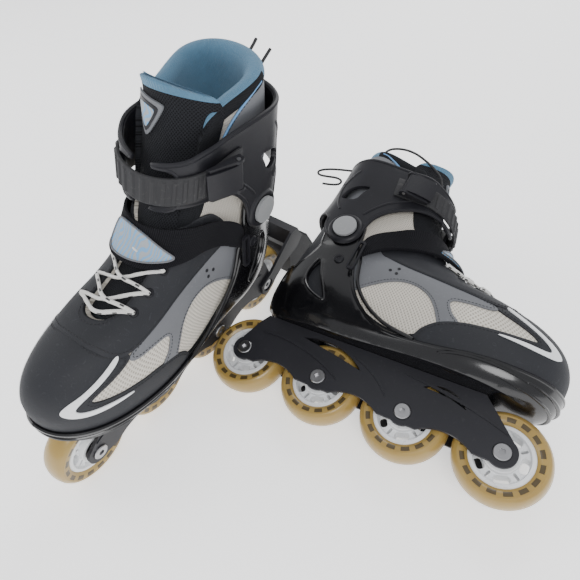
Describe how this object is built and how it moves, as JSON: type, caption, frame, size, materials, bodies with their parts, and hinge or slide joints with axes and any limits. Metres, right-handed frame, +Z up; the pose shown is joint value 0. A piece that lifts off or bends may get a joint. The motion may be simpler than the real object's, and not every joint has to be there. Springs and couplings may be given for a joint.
{
  "type": "inline skates pair",
  "caption": "Pair of inline skates with soft mesh boots, hinged plastic cuffs, buckles, laces, a heel brake and four-wheel frames; one stands, one lies on its side.",
  "frame": {"origin": "middle of the pair's box in plan, on the floor that both skates rest on", "axes": "+Z up; -Y along the standing left skate from heel to toe; +X towards the right skate, which lies on its inner side with its toe towards +X"},
  "size_m": [0.3702, 0.4864, 0.3252],
  "materials": {
    "frame_plastic": "satin dark grey moulded nylon",
    "shell_plastic": "gloss and satin black moulded plastic",
    "boot_upper": "pale woven mesh with charcoal and grey synthetic leather overlays",
    "liner_velour": "blue-grey velour",
    "tongue_mesh": "black spacer mesh, velour lined",
    "footbed_foam": "cloth-faced foam",
    "lace_cord": "white braid with dark flecks",
    "black_metal": "satin black",
    "strap_webbing": "black woven webbing",
    "black_plastic": "satin black",
    "pivot_grey": "satin light grey",
    "steel": "zinc plated",
    "bearing_steel": "ground steel with shields",
    "cuff_plastic": "satin black moulded plastic",
    "buckle_grey": "satin dark grey",
    "brake_plastic": "satin black",
    "brake_rubber": "matte black rubber",
    "tyre_amber": "translucent amber urethane",
    "hub_white": "white moulded nylon",
    "cord_black": "black elastic cord"
  },
  "bodies": {
    "right_chassis": {"right_frame": "frame_plastic", "right_shell": "shell_plastic", "right_boot": "boot_upper", "right_liner": "liner_velour", "right_tongue": "tongue_mesh", "right_footbed": "footbed_foam", "right_lace": "lace_cord", "right_eyelets": "black_metal", "right_instep_strap": "strap_webbing", "right_strap_loop": "black_plastic", "right_cuff_pivots": "pivot_grey", "right_frame_bolts": "steel", "right_axle_bolts": "steel", "right_bearings": "bearing_steel", "right_collar_cord": "cord_black"},
    "right_cuff_body": {"right_cuff": "cuff_plastic", "right_ladder_strap": "black_plastic", "right_buckle_base": "black_plastic", "right_buckle_pin": "steel", "right_pull_cord": "cord_black"},
    "right_lever_body": {"right_buckle_lever": "buckle_grey"},
    "right_wheel_1": {"right_tyre_1": "tyre_amber", "right_hub_1": "hub_white"},
    "right_wheel_2": {"right_tyre_2": "tyre_amber", "right_hub_2": "hub_white"},
    "right_wheel_3": {"right_tyre_3": "tyre_amber", "right_hub_3": "hub_white"},
    "right_wheel_4": {"right_tyre_4": "tyre_amber", "right_hub_4": "hub_white"},
    "left_chassis": {"left_frame": "frame_plastic", "left_shell": "shell_plastic", "left_boot": "boot_upper", "left_liner": "liner_velour", "left_tongue": "tongue_mesh", "left_footbed": "footbed_foam", "left_lace": "lace_cord", "left_eyelets": "black_metal", "left_instep_strap": "strap_webbing", "left_strap_loop": "black_plastic", "left_cuff_pivots": "pivot_grey", "left_frame_bolts": "steel", "left_axle_bolts": "steel", "left_bearings": "bearing_steel", "brake_arm": "brake_plastic", "brake_pad": "brake_rubber", "left_tail_1": "cord_black", "left_tail_2": "cord_black"},
    "left_cuff_body": {"left_cuff": "cuff_plastic", "left_ladder_strap": "black_plastic", "left_buckle_base": "black_plastic", "left_buckle_pin": "steel"},
    "left_lever_body": {"left_buckle_lever": "buckle_grey"},
    "left_wheel_1": {"left_tyre_1": "tyre_amber", "left_hub_1": "hub_white"},
    "left_wheel_2": {"left_tyre_2": "tyre_amber", "left_hub_2": "hub_white"},
    "left_wheel_3": {"left_tyre_3": "tyre_amber", "left_hub_3": "hub_white"},
    "left_wheel_4": {"left_tyre_4": "tyre_amber", "left_hub_4": "hub_white"}
  },
  "joints": [
    {"name": "left_skate_lift", "type": "slide", "parent": "right_chassis", "child": "left_chassis", "axis": [0, 0, 1], "range_m": [0, 0.35]},
    {"name": "right_cuff_flex", "type": "hinge", "parent": "right_chassis", "child": "right_cuff_body", "pos_m": [-0.0618, 0.10087, 0.06359], "axis": [0.0361, 0.2772, -0.9601], "range_deg": [0, 4]},
    {"name": "right_buckle_open", "type": "hinge", "parent": "right_cuff_body", "child": "right_lever_body", "pos_m": [-0.02562, 0.14832, 0.13568], "axis": [0.064, -0.9594, -0.2746], "range_deg": [0, 110]},
    {"name": "right_wheel_1_spin", "type": "hinge", "parent": "right_chassis", "child": "right_wheel_1", "pos_m": [-0.09577, -0.04241, 0.02094], "axis": [0.0361, 0.2772, -0.9601], "continuous": true},
    {"name": "right_wheel_2_spin", "type": "hinge", "parent": "right_chassis", "child": "right_wheel_2", "pos_m": [-0.01499, -0.03823, 0.02518], "axis": [0.0361, 0.2772, -0.9601], "continuous": true},
    {"name": "right_wheel_3_spin", "type": "hinge", "parent": "right_chassis", "child": "right_wheel_3", "pos_m": [0.06579, -0.03405, 0.02942], "axis": [0.0361, 0.2772, -0.9601], "continuous": true},
    {"name": "right_wheel_4_spin", "type": "hinge", "parent": "right_chassis", "child": "right_wheel_4", "pos_m": [0.14657, -0.02988, 0.03366], "axis": [0.0361, 0.2772, -0.9601], "continuous": true},
    {"name": "left_cuff_flex", "type": "hinge", "parent": "left_chassis", "child": "left_cuff_body", "pos_m": [-0.13494, -0.00522, 0.18449], "axis": [0.9942, 0, -0.1075], "range_deg": [0, 4]},
    {"name": "left_buckle_open", "type": "hinge", "parent": "left_cuff_body", "child": "left_lever_body", "pos_m": [-0.07372, -0.04752, 0.24124], "axis": [0.1075, 0, 0.9942], "range_deg": [0, 110]},
    {"name": "left_wheel_1_spin", "type": "hinge", "parent": "left_chassis", "child": "left_wheel_1", "pos_m": [-0.15074, 0.03828, 0.03834], "axis": [0.9942, 0, -0.1075], "continuous": true},
    {"name": "left_wheel_2_spin", "type": "hinge", "parent": "left_chassis", "child": "left_wheel_2", "pos_m": [-0.15074, -0.04272, 0.03834], "axis": [0.9942, 0, -0.1075], "continuous": true},
    {"name": "left_wheel_3_spin", "type": "hinge", "parent": "left_chassis", "child": "left_wheel_3", "pos_m": [-0.15074, -0.12372, 0.03834], "axis": [0.9942, 0, -0.1075], "continuous": true},
    {"name": "left_wheel_4_spin", "type": "hinge", "parent": "left_chassis", "child": "left_wheel_4", "pos_m": [-0.15074, -0.20472, 0.03834], "axis": [0.9942, 0, -0.1075], "continuous": true}
  ]
}
